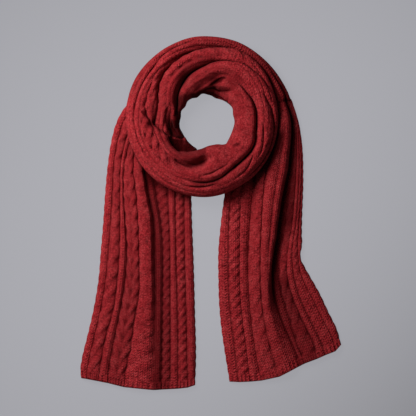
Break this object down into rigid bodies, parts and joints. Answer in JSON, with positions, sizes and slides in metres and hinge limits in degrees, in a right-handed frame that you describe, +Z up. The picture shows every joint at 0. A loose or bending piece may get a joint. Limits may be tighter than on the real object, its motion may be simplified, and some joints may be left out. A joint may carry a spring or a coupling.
{
  "type": "knit scarf",
  "caption": "Long cable-knit wool scarf laid flat: a wound, gathered neck loop with two ribbed tails hanging from it.",
  "frame": {"origin": "middle of the laid-out scarf's footprint, on the surface that it lies on", "axes": "+Z up from the surface, +Y from the hems towards the neck loop, +X to the right as seen from above with the hems below"},
  "size_m": [0.522, 0.708, 0.0561],
  "materials": {
    "wool": "brushed, slightly fuzzy knit"
  },
  "bodies": {
    "root": {"tail_left": "wool", "wrap_inner": "wool", "wrap_front": "wool", "wrap_outer": "wool", "tail_right": "wool"}
  },
  "joints": []
}
